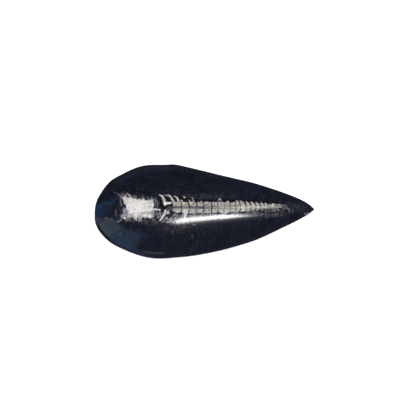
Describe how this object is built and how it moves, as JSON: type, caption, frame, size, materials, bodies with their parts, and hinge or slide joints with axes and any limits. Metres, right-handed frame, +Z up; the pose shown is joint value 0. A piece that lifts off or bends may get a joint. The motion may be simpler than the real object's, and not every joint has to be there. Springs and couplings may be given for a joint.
{
  "type": "polished orthoceras fossil stone",
  "caption": "Teardrop of polished black limestone with a white straight-shelled orthoceras fossil along its ridge, resting on a sawn flat base.",
  "frame": {"origin": "middle of the flat base, below the centre of the bounding box", "axes": "+Z up, +X towards the sharp end of the teardrop, where the shell's apex points, +Y across the stone"},
  "size_m": [0.08, 0.0344, 0.0165],
  "materials": {
    "polished_limestone": "polished"
  },
  "bodies": {
    "root": {"fossil_stone": "polished_limestone"}
  },
  "joints": []
}
